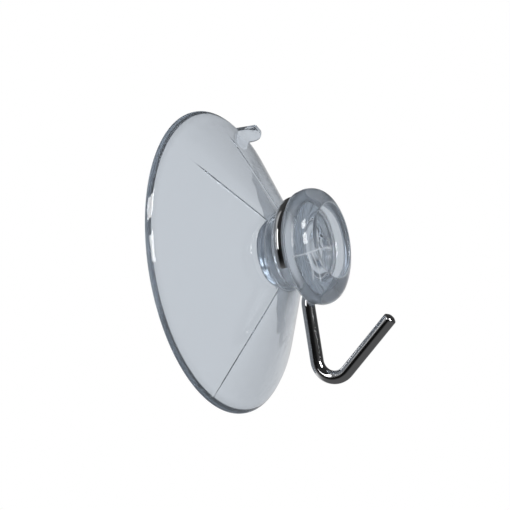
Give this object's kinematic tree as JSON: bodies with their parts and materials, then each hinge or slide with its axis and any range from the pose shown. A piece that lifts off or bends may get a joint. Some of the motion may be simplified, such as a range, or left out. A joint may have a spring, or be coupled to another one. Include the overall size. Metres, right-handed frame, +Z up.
{
  "type": "suction cup",
  "caption": "Clear flexible suction cup with a conical skirt, a pull tab and a mushroom head with a dish in its front, and a bent wire hook that swivels round its neck.",
  "frame": {"origin": "centre of the sealing lip, on the plane that meets the wall", "axes": "+Y into the wall along the cup's axis, -Y out towards the head and hook, +Z up, hook hanging down -Z"},
  "size_m": [0.045, 0.0257, 0.045],
  "materials": {
    "clear_pvc": "clear glossy flexible PVC",
    "plated_steel": "bright nickel plated steel wire"
  },
  "bodies": {
    "cup": {"suction_cup": "clear_pvc"},
    "wire_hook": {"hook": "plated_steel"}
  },
  "joints": [
    {"name": "hook_swivel", "type": "hinge", "parent": "cup", "child": "wire_hook", "pos_m": [0, -0.01256, 0], "axis": [0, 1, 0], "continuous": true}
  ]
}
